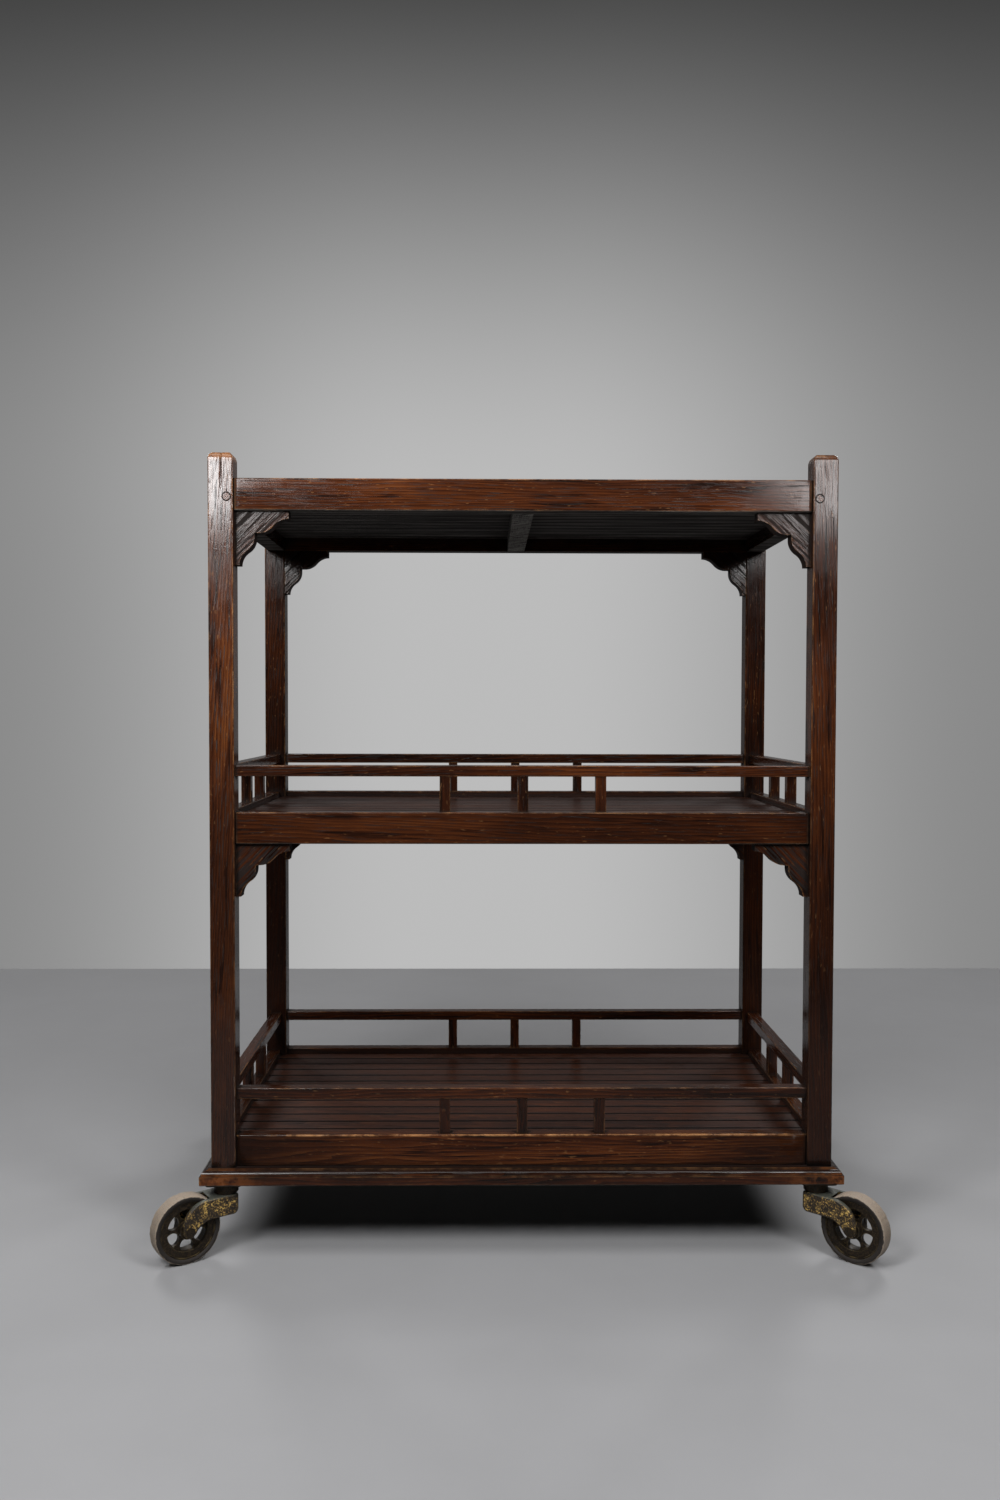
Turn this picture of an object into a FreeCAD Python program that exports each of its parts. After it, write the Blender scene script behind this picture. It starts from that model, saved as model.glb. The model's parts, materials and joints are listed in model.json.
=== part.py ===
import FreeCAD, Part
import math
import os

# A wooden serving trolley: three slatted trays framed between four square posts, low galleries round the
# two lower trays, shaped brackets under the two upper ones, a mitred base moulding and four swivel casters.
# Millimetres. The origin is on the floor under the middle of the trolley: +X right, +Y back, +Z up.

# Overall sizes
width_over_posts = 710.0
depth_over_posts = 392.0
base_thickness = 17.5
middle_tray_rise = 370.0
top_tray_rise = 747.0
post_projection = 28.0

# Posts
post_side = 28.0
post_arris_radius = 1.2
post_cap_height = 6.0
post_cap_bend_drop = 2.2
post_cap_bend_inset = 1.3
post_cap_top_inset = 3.6

# Rails: an outer lip stands above a ledge that carries the boards
rail_height = 36.0
rail_setback = 4.0
rail_lip_thickness = 16.0
rail_ledge_height = 17.5
rail_arris_radius = 1.2
rail_tenon_length = 13.0
rail_tenon_thickness = 8.0
rail_tenon_setback = 2.0
rail_tenon_shoulder = 5.0
mortise_end_gap = 0.5

# Tongued and grooved boards
board_count = 13
board_thickness = 11.0
board_field_gap = 0.4
board_joint_gap = 0.3
board_chamfer = 1.6
tongue_length = 4.0
tongue_thickness = 3.5
groove_clearance = 0.2

# Cross battens under the boards
batten_width = 24.0
batten_tenon_length = 6.0
batten_tenon_shoulder = 4.0

# Galleries
gallery_gap = 40.7
handrail_height = 12.5
handrail_thickness = 15.0
handrail_arris_radius = 1.0
handrail_tenon_length = 8.0
handrail_tenon_shoulder = 3.0
spindle_side = 12.0
spindle_pitch = 89.0
spindle_tenon_side = 6.0
spindle_tenon_length = 6.0

# Brackets
bracket_leg = 61.0
bracket_setback = 10.0
bracket_end_depth = 8.8
bracket_nib_reach = 27.0
bracket_nib_depth = 25.0
bracket_nib_step = 4.5
bracket_foot_width = 5.5

# Base moulding
base_projection = 11.5
base_width = 48.0
base_arris_radius = 1.5
fascia_height = 10.5
quirk_depth = 1.5
quirk_height = 0.8
ovolo_depth = 5.5
ovolo_height = 4.2
fillet_height = 1.0
fillet_depth = 1.5

# Joint pegs
peg_radius = 4.0
peg_inset = 7.0
peg_rise = 14.5
peg_depth = 20.0
peg_proud = 0.4

# Caster plates, screws and kingpins
plate_side = 40.0
plate_thickness = 3.0
plate_corner_radius = 4.0
boss_radius = 14.0
boss_height = 11.0
screw_inset = 6.0
screw_radius = 2.0
screw_head_radius = 3.6
screw_head_depth = 1.6
screw_length = 16.0
kingpin_radius = 4.5
kingpin_head_radius = 7.0
kingpin_head_height = 2.5
kingpin_head_gap = 0.3
running_clearance = 0.05
swivel_gap = 0.5

# Forks, axles and wheels
wheel_radius = 38.5
wheel_setback = 10.5
axle_drop = 32.0
fork_width = 33.0
fork_side_clearance = 1.5
fork_round_clearance = 2.2
fork_edge_chamfer = 1.0
crown_height = 22.0
crown_back = 8.0
crown_corner_radius = 6.0
arm_straight = 4.0
arm_root_back = 27.0
arm_end_radius = 7.0
arm_end_degrees = 215.0
axle_radius = 4.0
axle_head_radius = 5.5
axle_head_height = 1.2
tyre_width = 19.0
tyre_thickness = 6.0
tyre_chamfer = 1.6
hub_radius = 9.5
hub_end_gap = 0.4
web_thickness = 6.0
rim_thickness = 8.5
rim_slope = 1.5
rim_edge_inset = 0.8
rim_lip = 1.5
rim_dish = 1.0
opening_count = 6
opening_radius = 7.5
opening_hub_gap = 1.5
opening_rim_gap = 1.0
front_left_degrees = 214.0
front_right_degrees = -41.0
back_left_degrees = 139.0
back_right_degrees = 34.0

# One overrun serves all cuts
overrun = 2.0

# Values worked out from the sizes above
half_width = width_over_posts / 2
half_depth = depth_over_posts / 2
long_run = half_width - post_side
end_run = half_depth - post_side
fork_top = wheel_radius + axle_drop
caster_height = fork_top + swivel_gap + boss_height + plate_thickness
base_top = caster_height + base_thickness
rail_levels = {
    "lower": base_top,
    "middle": base_top + middle_tray_rise,
    "top": base_top + top_tray_rise,
}
gallery_tiers = ("middle", "lower")
bracket_tiers = ("top", "middle")
post_top = rail_levels["top"] + rail_height + post_projection
lip_inward = rail_setback + rail_lip_thickness
post_middle = post_side / 2
handrail_rise = rail_height + gallery_gap
swivel_x = half_width - post_middle
swivel_y = half_depth - post_middle
crown_bottom = fork_top - crown_height
wheel_trail = wheel_radius + wheel_setback
rim_radius = wheel_radius - tyre_thickness
rim_inner_radius = rim_radius - rim_thickness
opening_centre_radius = hub_radius + opening_hub_gap + opening_radius
opening_outer_radius = rim_inner_radius - opening_rim_gap
caster_rest_degrees = {
    "front_left": front_left_degrees,
    "front_right": front_right_degrees,
    "back_left": back_left_degrees,
    "back_right": back_right_degrees,
}

origin = FreeCAD.Vector(0, 0, 0)
x_axis = FreeCAD.Vector(1, 0, 0)
y_axis = FreeCAD.Vector(0, 1, 0)
z_axis = FreeCAD.Vector(0, 0, 1)


# Places on the trolley: "along" runs along a side from its middle, "inward" starts at the posts' outer face

def on_back(along, inward, height):
    return FreeCAD.Vector(along, half_depth - inward, height)


def on_right(along, inward, height):
    return FreeCAD.Vector(half_width - inward, along, height)


def in_side_view(forward, height):
    return FreeCAD.Vector(forward, 0, height)


def in_plan(across, back):
    return FreeCAD.Vector(across, back, 0)


# Shared shapes

def block(place, along, inward, height):
    low = place(along[0], inward[0], height[0])
    high = place(along[1], inward[1], height[1])
    corner = FreeCAD.Vector(min(low.x, high.x), min(low.y, high.y), min(low.z, high.z))
    size = FreeCAD.Vector(abs(high.x - low.x), abs(high.y - low.y), abs(high.z - low.z))
    return Part.makeBox(size.x, size.y, size.z, corner)


def rounded_face(corners):
    """A flat face through corners of (point, radius), with a tangent arc at each corner that has a radius."""
    edges = []
    ends = []
    for index, (point, radius) in enumerate(corners):
        back = (corners[index - 1][0] - point).normalize()
        ahead = (corners[(index + 1) % len(corners)][0] - point).normalize()
        half_angle = back.getAngle(ahead) / 2
        reach = radius / math.tan(half_angle)
        start = point + back * reach
        end = point + ahead * reach
        if radius > 0:
            to_centre = (back + ahead).normalize()
            middle = point + to_centre * (radius / math.sin(half_angle) - radius)
            edges.append(Part.Arc(start, middle, end).toShape())
        ends.append((start, end))
    for (_, end), (start, _) in zip(ends[-1:] + ends[:-1], ends):
        edges.append(Part.LineSegment(end, start).toShape())
    return Part.Face(Part.Wire(Part.__sortEdges__(edges)))


def tangent_arc(place, start, end, upright):
    """An arc from start to end that leaves start along the first axis, or along the second where upright."""
    along, across = (1, 0) if upright else (0, 1)
    run = end[along] - start[along]
    rise = end[across] - start[across]
    radius = (run * run + rise * rise) / (2 * rise)
    half_turn = math.atan(abs(rise / run))
    middle = [0, 0]
    middle[along] = start[along] + math.copysign(abs(radius) * math.sin(half_turn), run)
    middle[across] = start[across] + radius * (1 - math.cos(half_turn))
    return Part.Arc(place(*start), place(*middle), place(*end)).toShape()


def polyline(points):
    return [Part.LineSegment(first, last).toShape() for first, last in zip(points, points[1:])]


def face_of(edges):
    return Part.Face(Part.Wire(Part.__sortEdges__(edges)))


def bar(place, half_run, corners):
    """A straight bar along a side, with a section of (inward, height, radius) corners."""
    section = rounded_face([(place(-half_run, inward, height), radius) for inward, height, radius in corners])
    return section.extrude(place(half_run, 0, 0) - place(-half_run, 0, 0))


def mirrored(shape, side_x, side_y):
    """The shape, or its mirror image where a side is negative."""
    if side_x < 0:
        shape = shape.mirror(origin, x_axis)
    if side_y < 0:
        shape = shape.mirror(origin, y_axis)
    return shape


def raised(shape, height):
    copy = shape.copy()
    copy.translate(FreeCAD.Vector(0, 0, height))
    return copy


def four_corners(shape):
    return [mirrored(shape, side_x, side_y) for side_x in (-1, 1) for side_y in (-1, 1)]


# Rails and their joints, at the height of the floor

def rail_tenon(place, half_run, end_gap):
    inward = rail_setback + rail_tenon_setback
    return block(
        place,
        (half_run, half_run + rail_tenon_length + end_gap),
        (inward, inward + rail_tenon_thickness),
        (rail_tenon_shoulder, rail_height - rail_tenon_shoulder),
    )


def peg(radius, proud):
    centre = on_back(long_run + peg_inset, -proud, peg_rise)
    return Part.makeCylinder(radius, peg_depth + proud, centre, -y_axis)


def spindle_places(place):
    if place is on_back:
        return (-spindle_pitch, 0, spindle_pitch)
    return (-spindle_pitch / 2, spindle_pitch / 2)


def spindle_tenon(place, along, low, high):
    half = spindle_tenon_side / 2
    return block(
        place, (along - half, along + half), (post_middle - half, post_middle + half), (low, high)
    )


def batten_tenon(end_gap):
    half = batten_width / 2 - batten_tenon_shoulder
    return block(
        on_back,
        (-half, half),
        (post_side - batten_tenon_length - end_gap, post_side),
        (batten_tenon_shoulder, rail_ledge_height - batten_tenon_shoulder),
    )


def rail(place, half_run, has_gallery):
    outer = rail_setback
    shape = bar(place, half_run, [
        (outer, 0, rail_arris_radius),
        (post_side, 0, 0),
        (post_side, rail_ledge_height, 0),
        (lip_inward, rail_ledge_height, 0),
        (lip_inward, rail_height, rail_arris_radius),
        (outer, rail_height, rail_arris_radius),
    ])
    tenon = rail_tenon(place, half_run, 0)
    side = (-1, 1) if place is on_back else (1, -1)
    shape = shape.fuse([tenon, mirrored(tenon, *side)])
    if place is on_back:
        shape = shape.cut(batten_tenon(mortise_end_gap))
    if has_gallery:
        depth = spindle_tenon_length + mortise_end_gap
        shape = shape.cut([
            spindle_tenon(place, along, rail_height - depth, rail_height) for along in spindle_places(place)
        ])
    return shape


def pegged(shape):
    hole = peg(peg_radius, overrun)
    return shape.cut([hole, mirrored(hole, -1, 1)])


# Boards and cross batten

def board(index, pitch, half_field):
    """One board, with a groove towards the front and a tongue towards the back where it has a neighbour."""
    front = index * pitch - half_field + board_joint_gap / 2
    back = front + pitch - board_joint_gap
    low = rail_ledge_height
    high = low + board_thickness
    middle = (low + high) / 2
    tongue = tongue_thickness / 2
    groove = tongue + groove_clearance
    groove_depth = tongue_length + groove_clearance
    outline = [(back - board_chamfer, high), (front + board_chamfer, high), (front, high - board_chamfer)]
    if index > 0:
        outline += [(front, middle + groove), (front + groove_depth, middle + groove)]
        outline += [(front + groove_depth, middle - groove), (front, middle - groove)]
    outline += [(front, low), (back, low)]
    if index < board_count - 1:
        outline += [(back, middle - tongue), (back + tongue_length, middle - tongue)]
        outline += [(back + tongue_length, middle + tongue), (back, middle + tongue)]
    outline += [(back, high - board_chamfer)]
    half_length = half_width - lip_inward - board_field_gap
    points = [FreeCAD.Vector(-half_length, across, height) for across, height in outline]
    face = Part.Face(Part.makePolygon(points + points[:1]))
    return face.extrude(x_axis * (2 * half_length))


def boards():
    half_field = half_depth - lip_inward - board_field_gap
    pitch = 2 * half_field / board_count
    notch = block(
        on_back,
        (long_run - board_field_gap, half_width),
        (0, post_side + board_field_gap),
        (0, rail_height),
    )
    notches = four_corners(notch)
    rows = [board(index, pitch, half_field) for index in range(board_count)]
    return [row.cut(notches) for row in rows]


def cross_batten():
    half = batten_width / 2
    shape = Part.makeBox(batten_width, 2 * end_run, rail_ledge_height, FreeCAD.Vector(-half, -end_run, 0))
    tenon = batten_tenon(0)
    return shape.fuse([tenon, mirrored(tenon, 1, -1)])


# Galleries

def handrail_tenon(place, half_run, end_gap):
    half = handrail_thickness / 2 - handrail_tenon_shoulder
    return block(
        place,
        (half_run, half_run + handrail_tenon_length + end_gap),
        (post_middle - half, post_middle + half),
        (handrail_rise + handrail_tenon_shoulder, handrail_rise + handrail_height - handrail_tenon_shoulder),
    )


def handrail(place, half_run):
    outer = post_middle - handrail_thickness / 2
    inner = post_middle + handrail_thickness / 2
    high = handrail_rise + handrail_height
    corners = [(outer, handrail_rise), (inner, handrail_rise), (inner, high), (outer, high)]
    shape = bar(place, half_run, [(inward, height, handrail_arris_radius) for inward, height in corners])
    tenon = handrail_tenon(place, half_run, 0)
    side = (-1, 1) if place is on_back else (1, -1)
    shape = shape.fuse([tenon, mirrored(tenon, *side)])
    depth = spindle_tenon_length + mortise_end_gap
    sockets = [
        spindle_tenon(place, along, handrail_rise, handrail_rise + depth) for along in spindle_places(place)
    ]
    return shape.cut(sockets)


def spindles(place):
    half = spindle_side / 2
    shapes = []
    for along in spindle_places(place):
        shaft = block(
            place,
            (along - half, along + half),
            (post_middle - half, post_middle + half),
            (rail_height, handrail_rise),
        )
        core = spindle_tenon(
            place, along, rail_height - spindle_tenon_length, handrail_rise + spindle_tenon_length
        )
        shapes.append(shaft.fuse(core))
    return shapes


# Brackets

def bracket():
    """The bracket of the back right post: an ogee, a nib and a second ogee between two square ends."""
    def place(reach, depth):
        return on_back(long_run - reach, bracket_setback, -depth)

    reach_end = (bracket_leg, bracket_end_depth)
    nib_start = (bracket_nib_reach, bracket_nib_depth)
    nib_corner = (bracket_nib_reach - bracket_nib_step, bracket_nib_depth)
    nib_end = (nib_corner[0], bracket_nib_depth + bracket_nib_step)
    foot_end = (bracket_foot_width, bracket_leg)
    upper_middle = ((reach_end[0] + nib_start[0]) / 2, (reach_end[1] + nib_start[1]) / 2)
    lower_middle = ((nib_end[0] + foot_end[0]) / 2, (nib_end[1] + foot_end[1]) / 2)
    edges = [
        tangent_arc(place, reach_end, upper_middle, False),
        tangent_arc(place, nib_start, upper_middle, False),
        tangent_arc(place, nib_end, lower_middle, True),
        tangent_arc(place, foot_end, lower_middle, True),
    ]
    edges += polyline([place(*nib_start), place(*nib_corner), place(*nib_end)])
    square = [foot_end, (0, bracket_leg), (0, 0), (bracket_leg, 0), reach_end]
    edges += polyline([place(*point) for point in square])
    return face_of(edges).extrude(y_axis * (bracket_setback - post_side))


# Base moulding

def base_section(place, along):
    """The moulding's section: a fascia, a quirk, an ovolo and a small fillet below the posts."""
    outer = -base_projection
    inner = base_width - base_projection
    quirk = outer + quirk_depth
    fillet = quirk + ovolo_depth
    top_edge = fillet + fillet_depth
    ovolo_start = (quirk, fascia_height + quirk_height)
    ovolo_end = (fillet, ovolo_start[1] + ovolo_height)

    def point(inward, height):
        return place(along, inward, height)

    square = [
        ovolo_end,
        (fillet, ovolo_end[1] + fillet_height),
        (top_edge, ovolo_end[1] + fillet_height),
        (top_edge, base_thickness),
        (inner, base_thickness),
        (inner, 0),
        (outer + base_arris_radius, 0),
    ]
    fascia = [(outer, base_arris_radius), (outer, fascia_height), (quirk, fascia_height), ovolo_start]
    edges = polyline([point(*corner) for corner in square])
    edges += polyline([point(*corner) for corner in fascia])
    edges.append(tangent_arc(point, fascia[0], square[-1], True))
    edges.append(tangent_arc(point, ovolo_start, ovolo_end, True))
    return face_of(edges)


def base_moulding(place, half_length):
    outer_run = half_length + base_projection
    length = place(2 * outer_run, 0, 0) - place(0, 0, 0)
    shape = base_section(place, -outer_run).extrude(length)
    inner_run = outer_run - base_width
    plan = [(-outer_run, -base_projection), (outer_run, -base_projection)]
    plan += [(inner_run, base_width - base_projection), (-inner_run, base_width - base_projection)]
    points = [place(along, inward, 0) for along, inward in plan]
    mitre = Part.Face(Part.makePolygon(points + points[:1])).extrude(z_axis * base_thickness)
    holes = [raised(shank, -caster_height) for corner in swivel_corners() for shank in screw_shanks(corner)]
    return raised(shape.common(mitre).cut(holes), caster_height)


# Posts

def post_section(height, inset):
    low = inset
    high = post_side - inset
    corners = [(low, low), (low, high), (high, high), (high, low)]
    return rounded_face([
        (FreeCAD.Vector(half_width - across, half_depth - inward, height), post_arris_radius)
        for across, inward in corners
    ])


def post():
    """The back right post, with a shaped cap and a mortise for each rail and handrail."""
    shoulder = post_top - post_cap_height
    stages = [
        post_section(shoulder, 0),
        post_section(post_top - post_cap_bend_drop, post_cap_bend_inset),
        post_section(post_top, post_cap_top_inset),
    ]
    cap = Part.makeLoft([stage.OuterWire for stage in stages], True, True)
    shape = post_section(base_top, 0).extrude(z_axis * (shoulder - base_top)).fuse(cap)
    mortises = []
    for tier, level in rail_levels.items():
        for place, half_run in ((on_back, long_run), (on_right, end_run)):
            mortises.append(raised(rail_tenon(place, half_run, mortise_end_gap), level))
            if tier in gallery_tiers:
                mortises.append(raised(handrail_tenon(place, half_run, mortise_end_gap), level))
    mortises.append(raised(peg(peg_radius, overrun), rail_levels["top"]))
    return shape.cut(mortises).removeSplitter()


# Casters: fixed plates, screws and kingpins

def swivel_corners():
    return [FreeCAD.Vector(side_x * swivel_x, side_y * swivel_y, 0) for side_x in (-1, 1) for side_y in (-1, 1)]


def screw_centres(corner):
    reach = plate_side / 2 - screw_inset
    low = corner + z_axis * (caster_height - plate_thickness)
    return [low + in_plan(side_x * reach, side_y * reach) for side_x in (-1, 1) for side_y in (-1, 1)]


def screw_shanks(corner):
    return [Part.makeCylinder(screw_radius, screw_length, centre) for centre in screw_centres(corner)]


def screw_heads(corner):
    return [
        Part.makeCone(screw_head_radius, screw_radius, screw_head_depth, centre)
        for centre in screw_centres(corner)
    ]


def screws(corner):
    return [shank.fuse(head) for shank, head in zip(screw_shanks(corner), screw_heads(corner))]


def caster_plate(corner):
    half = plate_side / 2
    plan = [(-half, -half), (half, -half), (half, half), (-half, half)]
    low = caster_height - plate_thickness
    centre = corner + z_axis * low
    plate = rounded_face([(centre + in_plan(*point), plate_corner_radius) for point in plan])
    plate = plate.extrude(z_axis * plate_thickness)
    boss = Part.makeCylinder(boss_radius, boss_height, centre, -z_axis)
    shape = plate.fuse(boss).cut(kingpin(corner))
    return shape.cut(screw_shanks(corner) + screw_heads(corner))


def kingpin(corner):
    low = crown_bottom - kingpin_head_gap - kingpin_head_height
    shank = Part.makeCylinder(kingpin_radius, caster_height - low, corner + z_axis * low)
    head = Part.makeCylinder(kingpin_head_radius, kingpin_head_height, corner + z_axis * low)
    return shank.fuse(head)


# Casters: forks, axles and wheels, with the swivel axis at the origin and the wheel towards +X

def across_axle(radius, width):
    start = FreeCAD.Vector(wheel_trail, -width / 2, wheel_radius)
    return Part.makeCylinder(radius, width, start, y_axis)


def fork():
    """A cast fork: a crown behind the wheel and two arms that curve down to the axle."""
    arm_front = wheel_trail + arm_end_radius
    bend = axle_drop - arm_straight
    shoulder = (arm_front - bend, fork_top)
    elbow = (arm_front, fork_top - bend)
    root = (wheel_trail - arm_root_back, crown_bottom)
    end_angle = math.radians(arm_end_degrees)

    def on_arm_end(angle):
        across = wheel_trail + arm_end_radius * math.cos(angle)
        return (across, wheel_radius + arm_end_radius * math.sin(angle))

    tip = on_arm_end(end_angle)
    round_end = [on_arm_end(angle) for angle in (0, end_angle / 2 - math.pi, end_angle - 2 * math.pi)]
    back_low = (-crown_back, crown_bottom + crown_corner_radius)
    bottom_back = (crown_corner_radius - crown_back, crown_bottom)
    edges = [
        tangent_arc(in_side_view, shoulder, elbow, False),
        Part.Arc(*[in_side_view(*point) for point in round_end]).toShape(),
        tangent_arc(in_side_view, root, tip, False),
        tangent_arc(in_side_view, back_low, bottom_back, True),
    ]
    edges += polyline([in_side_view(*point) for point in (elbow, round_end[0])])
    edges += polyline([in_side_view(*point) for point in (root, bottom_back)])
    edges += polyline([in_side_view(*point) for point in (back_low, (-crown_back, fork_top), shoulder)])
    shape = face_of(edges).extrude(y_axis * fork_width)
    shape.translate(y_axis * (-fork_width / 2))
    shape = shape.makeChamfer(fork_edge_chamfer, arm_front_edges(shape))
    slot = across_axle(wheel_radius + fork_round_clearance, tyre_width + 2 * fork_side_clearance)
    bore_start = in_side_view(0, crown_bottom - overrun)
    bore = Part.makeCylinder(kingpin_radius + running_clearance, crown_height + 2 * overrun, bore_start)
    return shape.cut([slot, bore, across_axle(axle_radius, fork_width + 2 * overrun)])


def arm_front_edges(shape):
    """The front edge of each flat outer cheek: its tangent neighbours go on round the arm's end and the crown."""
    half = fork_width / 2
    cheeks = [face for face in shape.Faces if math.isclose(abs(face.CenterOfMass.y), half)]
    return [max(cheek.Edges, key=lambda edge: edge.CenterOfMass.x) for cheek in cheeks]


def axle():
    pin = across_axle(axle_radius, fork_width)
    heads = across_axle(axle_head_radius, fork_width + 2 * axle_head_height)
    gap = across_axle(axle_head_radius + overrun, fork_width)
    return pin.fuse(heads.cut(gap))


def turned(outline):
    """A solid turned about the axle from a half section of (radius, across) points."""
    points = [FreeCAD.Vector(0, across, radius) for radius, across in outline]
    face = Part.Face(Part.makePolygon(points + points[:1]))
    shape = face.revolve(origin, y_axis, 360)
    shape.translate(in_side_view(wheel_trail, wheel_radius))
    return shape


def wheel():
    """A cast wheel: hub, thin web with rounded openings, and a broad dished rim that carries the tyre."""
    bore = axle_radius + running_clearance
    hub_half = tyre_width / 2 + fork_side_clearance - hub_end_gap
    web_half = web_thickness / 2
    rim_half = tyre_width / 2 - rim_edge_inset
    half = [
        (hub_radius, hub_half),
        (hub_radius, web_half),
        (rim_inner_radius - rim_slope, web_half),
        (rim_inner_radius, rim_half - rim_dish),
        (rim_radius - rim_lip, rim_half - rim_dish),
        (rim_radius - rim_lip, rim_half),
        (rim_radius, rim_half),
    ]
    other_half = [(radius, -across) for radius, across in reversed(half)]
    shape = turned([(bore, hub_half)] + half + other_half + [(bore, -hub_half)])
    limit = across_axle(opening_outer_radius, web_thickness + 2 * overrun)
    hole = across_axle(opening_radius, web_thickness + 2 * overrun)
    hole.translate(z_axis * opening_centre_radius)
    hole = hole.common(limit)
    centre = in_side_view(wheel_trail, wheel_radius)
    step = 360 / opening_count
    holes = [hole.copy().rotate(centre, y_axis, step * index) for index in range(opening_count)]
    return shape.cut(holes)


def tyre():
    side = tyre_width / 2
    half = [(rim_radius, side), (wheel_radius - tyre_chamfer, side), (wheel_radius, side - tyre_chamfer)]
    other_half = [(radius, -across) for radius, across in reversed(half)]
    return turned(half + other_half)


def standing(shape, corner):
    """A caster piece turned to its rest direction under its corner of the trolley."""
    side_y, side_x = corner.split("_")
    shape = shape.copy()
    shape.rotate(origin, z_axis, caster_rest_degrees[corner])
    across = swivel_x if side_x == "right" else -swivel_x
    back = swivel_y if side_y == "back" else -swivel_y
    shape.translate(in_plan(across, back))
    return shape


# The nodes, each a list of separate solids

nodes = {}

corner_post = post()
for side_y, row in ((-1, "front"), (1, "back")):
    for side_x, column in ((-1, "left"), (1, "right")):
        nodes[f"post_{row}_{column}"] = [mirrored(corner_post, side_x, side_y)]

board_rows = boards()
for tier, level in rail_levels.items():
    long_rail = rail(on_back, long_run, tier in gallery_tiers)
    if tier == "top":
        long_rail = pegged(long_rail)
    end_rail = rail(on_right, end_run, tier in gallery_tiers)
    nodes[f"{tier}_front_rail"] = [raised(mirrored(long_rail, 1, -1), level)]
    nodes[f"{tier}_back_rail"] = [raised(long_rail, level)]
    nodes[f"{tier}_left_rail"] = [raised(mirrored(end_rail, -1, 1), level)]
    nodes[f"{tier}_right_rail"] = [raised(end_rail, level)]
    nodes[f"{tier}_boards"] = [raised(row, level) for row in board_rows]
    nodes[f"{tier}_cross_batten"] = [raised(cross_batten(), level)]

for tier in gallery_tiers:
    level = rail_levels[tier]
    long_handrail = handrail(on_back, long_run)
    end_handrail = handrail(on_right, end_run)
    nodes[f"{tier}_front_handrail"] = [raised(mirrored(long_handrail, 1, -1), level)]
    nodes[f"{tier}_back_handrail"] = [raised(long_handrail, level)]
    nodes[f"{tier}_left_handrail"] = [raised(mirrored(end_handrail, -1, 1), level)]
    nodes[f"{tier}_right_handrail"] = [raised(end_handrail, level)]
    back_spindles = spindles(on_back)
    right_spindles = spindles(on_right)
    around = back_spindles + [mirrored(shape, 1, -1) for shape in back_spindles]
    around += right_spindles + [mirrored(shape, -1, 1) for shape in right_spindles]
    nodes[f"{tier}_spindles"] = [raised(shape, level) for shape in around]

for tier in bracket_tiers:
    nodes[f"{tier}_brackets"] = [raised(shape, rail_levels[tier]) for shape in four_corners(bracket())]

top_peg = raised(peg(peg_radius, peg_proud), rail_levels["top"])
nodes["joint_pegs"] = four_corners(top_peg)

long_base = base_moulding(on_back, half_width)
end_base = base_moulding(on_right, half_depth)
nodes["base_front_moulding"] = [mirrored(long_base, 1, -1)]
nodes["base_back_moulding"] = [long_base]
nodes["base_left_moulding"] = [mirrored(end_base, -1, 1)]
nodes["base_right_moulding"] = [end_base]

nodes["caster_plates"] = [caster_plate(corner) for corner in swivel_corners()]
nodes["caster_kingpins"] = [kingpin(corner) for corner in swivel_corners()]
nodes["caster_screws"] = [screw for corner in swivel_corners() for screw in screws(corner)]

caster_pieces = {"fork": fork(), "axle": axle(), "wheel": wheel(), "tyre": tyre()}
for corner in caster_rest_degrees:
    for piece, shape in caster_pieces.items():
        nodes[f"{corner}_{piece}"] = [standing(shape, corner)]

os.makedirs("parts", exist_ok=True)
for name, shapes in nodes.items():
    solids = [solid for shape in shapes for solid in shape.Solids]
    piece = solids[0] if len(solids) == 1 else Part.makeCompound(solids)
    piece.exportStep(f"parts/{name}.step")
    print(name, len(solids), round(sum(solid.Volume for solid in solids)), piece.isValid())
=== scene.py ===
import itertools
import json
import math
import bmesh
import bpy
from mathutils import Matrix, Vector, noise


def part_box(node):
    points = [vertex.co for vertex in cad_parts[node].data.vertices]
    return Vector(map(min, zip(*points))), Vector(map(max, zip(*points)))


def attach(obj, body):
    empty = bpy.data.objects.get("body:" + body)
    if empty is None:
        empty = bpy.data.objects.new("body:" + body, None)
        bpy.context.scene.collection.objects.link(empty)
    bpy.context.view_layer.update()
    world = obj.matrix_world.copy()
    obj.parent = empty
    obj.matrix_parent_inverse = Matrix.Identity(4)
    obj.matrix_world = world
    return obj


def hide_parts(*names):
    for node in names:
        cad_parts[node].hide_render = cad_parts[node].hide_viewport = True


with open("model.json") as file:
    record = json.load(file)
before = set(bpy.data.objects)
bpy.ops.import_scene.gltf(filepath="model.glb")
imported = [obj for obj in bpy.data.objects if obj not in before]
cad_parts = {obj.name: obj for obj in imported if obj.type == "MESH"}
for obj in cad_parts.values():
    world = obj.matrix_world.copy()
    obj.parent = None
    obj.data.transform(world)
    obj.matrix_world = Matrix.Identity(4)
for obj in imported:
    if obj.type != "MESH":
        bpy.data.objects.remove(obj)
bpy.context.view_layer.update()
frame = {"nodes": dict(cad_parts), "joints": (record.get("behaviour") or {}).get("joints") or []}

# A dark polished oak serving trolley on four old swivel casters: its finishes, wear, tyres, light and camera.
# Metres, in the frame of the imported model: +X right, +Y back, +Z up, the floor at zero.

nodes = frame["nodes"]

CORNERS = ("front_left", "front_right", "back_left", "back_right")
TIERS = ("top", "middle", "lower")
GALLERY_TIERS = ("middle", "lower")
BRACKET_TIERS = ("top", "middle")
SCUFFED_RAIL = "lower_front_rail"
# Each side of the trolley, with the axis that its rails and their grain run along
SIDES = (("front", "X"), ("back", "X"), ("left", "Y"), ("right", "Y"))
BOARD_COUNT = 13
WELD = 1e-6

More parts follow.
